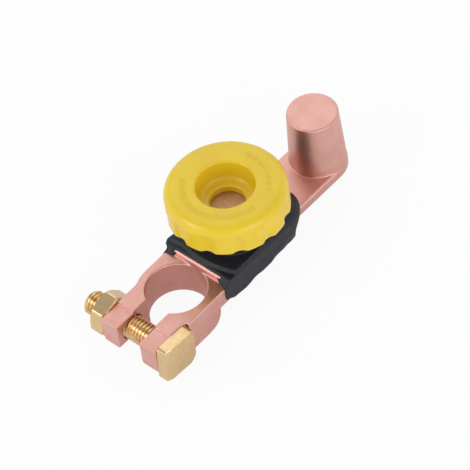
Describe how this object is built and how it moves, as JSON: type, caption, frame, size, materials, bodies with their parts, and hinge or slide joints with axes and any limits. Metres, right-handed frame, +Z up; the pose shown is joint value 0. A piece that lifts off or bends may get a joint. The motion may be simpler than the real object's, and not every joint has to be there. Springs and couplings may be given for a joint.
{
  "type": "battery disconnect switch",
  "caption": "Battery post clamp and tapered battery post joined through a rubber body; a round fluted knob turns a contact screw that opens or closes the copper path between them.",
  "frame": {"origin": "centre of the clamp's bore, on the clamp's underside", "axes": "+X from the clamp to the tapered post, +Z up along the bore, the post and the knob's screw, the clamp's nut on the +Y side"},
  "size_m": [0.1, 0.0414, 0.037],
  "materials": {
    "copper_plate": "satin copper plating on cast brass",
    "brass": "bright machined brass",
    "copper_screw": "dull copper-brown turned brass",
    "black_plastic": "matt",
    "black_rubber": "matt moulded rubber",
    "yellow_plastic": "finely grained satin gloss",
    "steel": "bright"
  },
  "bodies": {
    "base": {"clamp_terminal": "copper_plate", "post_terminal": "copper_plate", "insulating_plate": "black_plastic", "insulating_bush": "black_plastic", "rubber_body": "black_rubber"},
    "stop_washer": {"stop_washer": "steel"},
    "knob": {"knob": "yellow_plastic", "contact_screw": "copper_screw", "retaining_clip": "steel"},
    "clamp_bolt": {"clamp_bolt": "brass"},
    "clamp_nut": {"clamp_nut": "brass"}
  },
  "joints": [
    {"name": "knob_lift", "type": "slide", "parent": "base", "child": "stop_washer", "axis": [0, 0, 1], "range_m": [0, 0.00187]},
    {"name": "knob_turn", "type": "hinge", "parent": "stop_washer", "child": "knob", "pos_m": [0.0267, 0, 0.025], "axis": [0, 0, 1], "range_deg": [0, 450]},
    {"name": "nut_turn", "type": "hinge", "parent": "base", "child": "clamp_nut", "pos_m": [-0.0158, 0.014, 0.0063], "axis": [0, 1, 0], "range_deg": [0, 1080]},
    {"name": "bolt_slide", "type": "slide", "parent": "base", "child": "clamp_bolt", "axis": [0, -1, 0], "range_m": [0, 0.00375]}
  ],
  "couplings": [
    {"joint": "knob_turn", "follows": "knob_lift", "rad_per_m": 4188.8},
    {"joint": "nut_turn", "follows": "bolt_slide", "rad_per_m": 5026.5}
  ]
}
